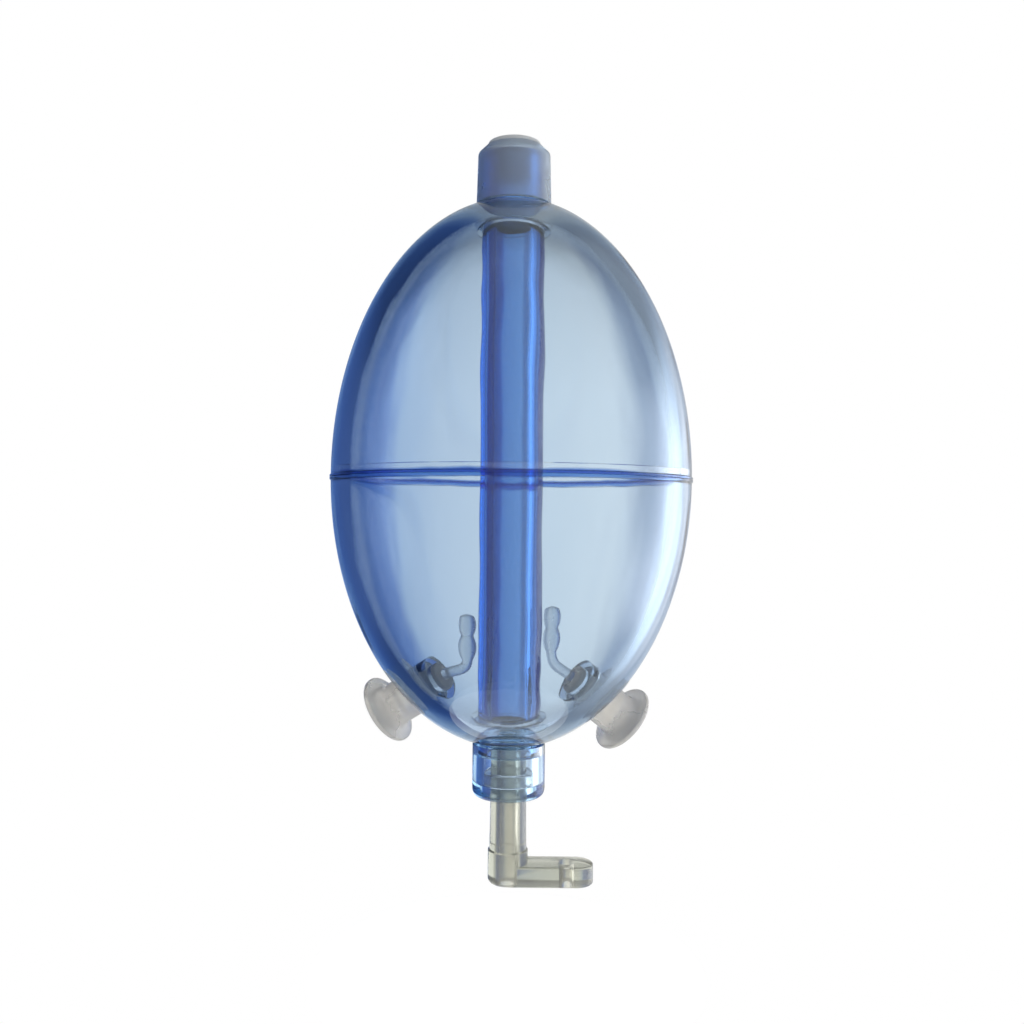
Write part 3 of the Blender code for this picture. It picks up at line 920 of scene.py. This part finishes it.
for side, place in ports.items():
    flare_top = HEAD_FACE - HEAD_EDGE
    flare = [
        (
            SHAFT_RADIUS + (HEAD_RADIUS - SHAFT_RADIUS) * (1 - math.sin(a)),
            flare_top - FLARE * (1 - math.cos(a)),
        )
        for a in (math.pi / 2 * step / FLARE_STEPS for step in range(FLARE_STEPS + 1))
    ]
    dome = [
        (HEAD_RADIUS * u, HEAD_FACE + HEAD_DOME * (1 - u * u))
        for u in (0, 0.25, 0.5, 0.75, 0.9)
    ]
    rim = [
        (
            HEAD_RADIUS + HEAD_RIM * math.cos(a) - HEAD_RIM,
            HEAD_FACE - HEAD_EDGE / 2 + (HEAD_EDGE / 2) * math.sin(a),
        )
        for a in (math.radians(75 - 150 * step / RIM_STEPS) for step in range(RIM_STEPS + 1))
    ]
    shaft = rounded(
        [
            (flare[-1][0], flare[-1][1], 0),
            (SHAFT_RADIUS, -SEAT_DEPTH + SEAT_GAP, 0.1 * MM),
            (STOPPER_RADIUS, -SEAT_DEPTH + SEAT_GAP, SMALL_ROUND),
            (STOPPER_RADIUS, -STOPPER_END, 0.3 * MM),
            (0, -STOPPER_END, 0),
        ],
        closed=False,
    )
    points = dome + rim + flare[1:-1] + shaft
    shape = spin_profile(points, segments=96, closed=False)
    bmesh.ops.transform(shape, matrix=place, verts=shape.verts)
    plug = add_piece(f"{side}_soft_plug", shape, soft_clear, sharp=40)
    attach(plug, f"{side}_plug_body")
    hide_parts(f"{side}_plug")

# %% [markdown]
# A tail keeps each plug from being lost when it is pulled. It leaves the stopper, bends up
# beside the tube and ends in two soft lobes. It is built where it lies at rest.

# %% Tails
tail_clear = clear_plastic(
    "tail_soft_clear", (70, 45, 20), tint=(0.96, 0.98, 1.0), dull=0.26, passes=0.8, waves=0.3,
    bends=1.2,
)
TAIL_RADIUS = 0.62 * MM
LOBE_RADIUS = 1.05 * MM
LOBE_WAIST = 0.7 * MM
LOBES_LENGTH = 5.0 * MM
TAIL_CURVE = 0.45
TAIL_GAP = 0.1 * MM
OFF_TUBE = 0.6 * MM
STRAND_STEPS = 30
LOBE_STEPS = 48
LOBE_FULLNESS = 0.8
TIP_FROM = 0.93
TIP_ROUND = 0.072
TIP_FLAT = 0.02


def bezier(p0, p1, p2, p3, t):
    """The point at share t of a smooth curve with four control points."""
    s = 1 - t
    return p0 * s**3 + p1 * 3 * s * s * t + p2 * 3 * s * t * t + p3 * t**3


def sweep(path, segments=32):
    """A closed tube along points of (place, radius)."""
    shape = bmesh.new()
    rings = []
    for index, (here, radius) in enumerate(path):
        before, after = path[max(index - 1, 0)][0], path[min(index + 1, len(path) - 1)][0]
        turn = (after - before).to_track_quat("Z", "Y").to_matrix().to_4x4()
        made = bmesh.ops.create_circle(
            shape, segments=segments, radius=radius, matrix=Matrix.Translation(here) @ turn
        )["verts"]
        rings.append({e for v in made for e in v.link_edges})
    for first, second in zip(rings, rings[1:]):
        bmesh.ops.bridge_loops(shape, edges=list(first | second))
    for ring in (rings[0], rings[-1]):
        bmesh.ops.contextual_create(shape, geom=list(ring))
    return shape


for side, place in ports.items():
    out = place.to_3x3() @ Vector((0, 0, 1))
    start = place.translation - out * (STOPPER_END + TAIL_GAP)
    lobes_at = Vector((out.x, out.y, 0)).normalized() * (tube_radius + LOBE_RADIUS + OFF_TUBE)
    turn_up = lobes_at + Vector((0, 0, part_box(f"{side}_plug_tail")[1].z - LOBES_LENGTH))
    reach = (turn_up - start).length * TAIL_CURVE
    leaves, arrives = start - out * reach, turn_up - Vector((0, 0, reach))
    strand = [
        (bezier(start, leaves, arrives, turn_up, step / STRAND_STEPS), TAIL_RADIUS)
        for step in range(STRAND_STEPS)
    ]
    lobes = []
    for step in range(LOBE_STEPS + 1):
        u = step / LOBE_STEPS
        swell = abs(math.sin(FULL_TURN * u)) ** LOBE_FULLNESS
        radius = LOBE_WAIST + (LOBE_RADIUS - LOBE_WAIST) * swell
        past = max(u - TIP_FROM, 0) / TIP_ROUND
        close = math.sqrt(max(1 - past**2, TIP_FLAT))
        lobes.append((turn_up + Vector((0, 0, LOBES_LENGTH * u)), radius * close))
    tail = add_piece(f"{side}_soft_tail", sweep(strand + lobes), tail_clear, sharp=50)
    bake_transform(tail)
    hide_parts(f"{side}_plug_tail")
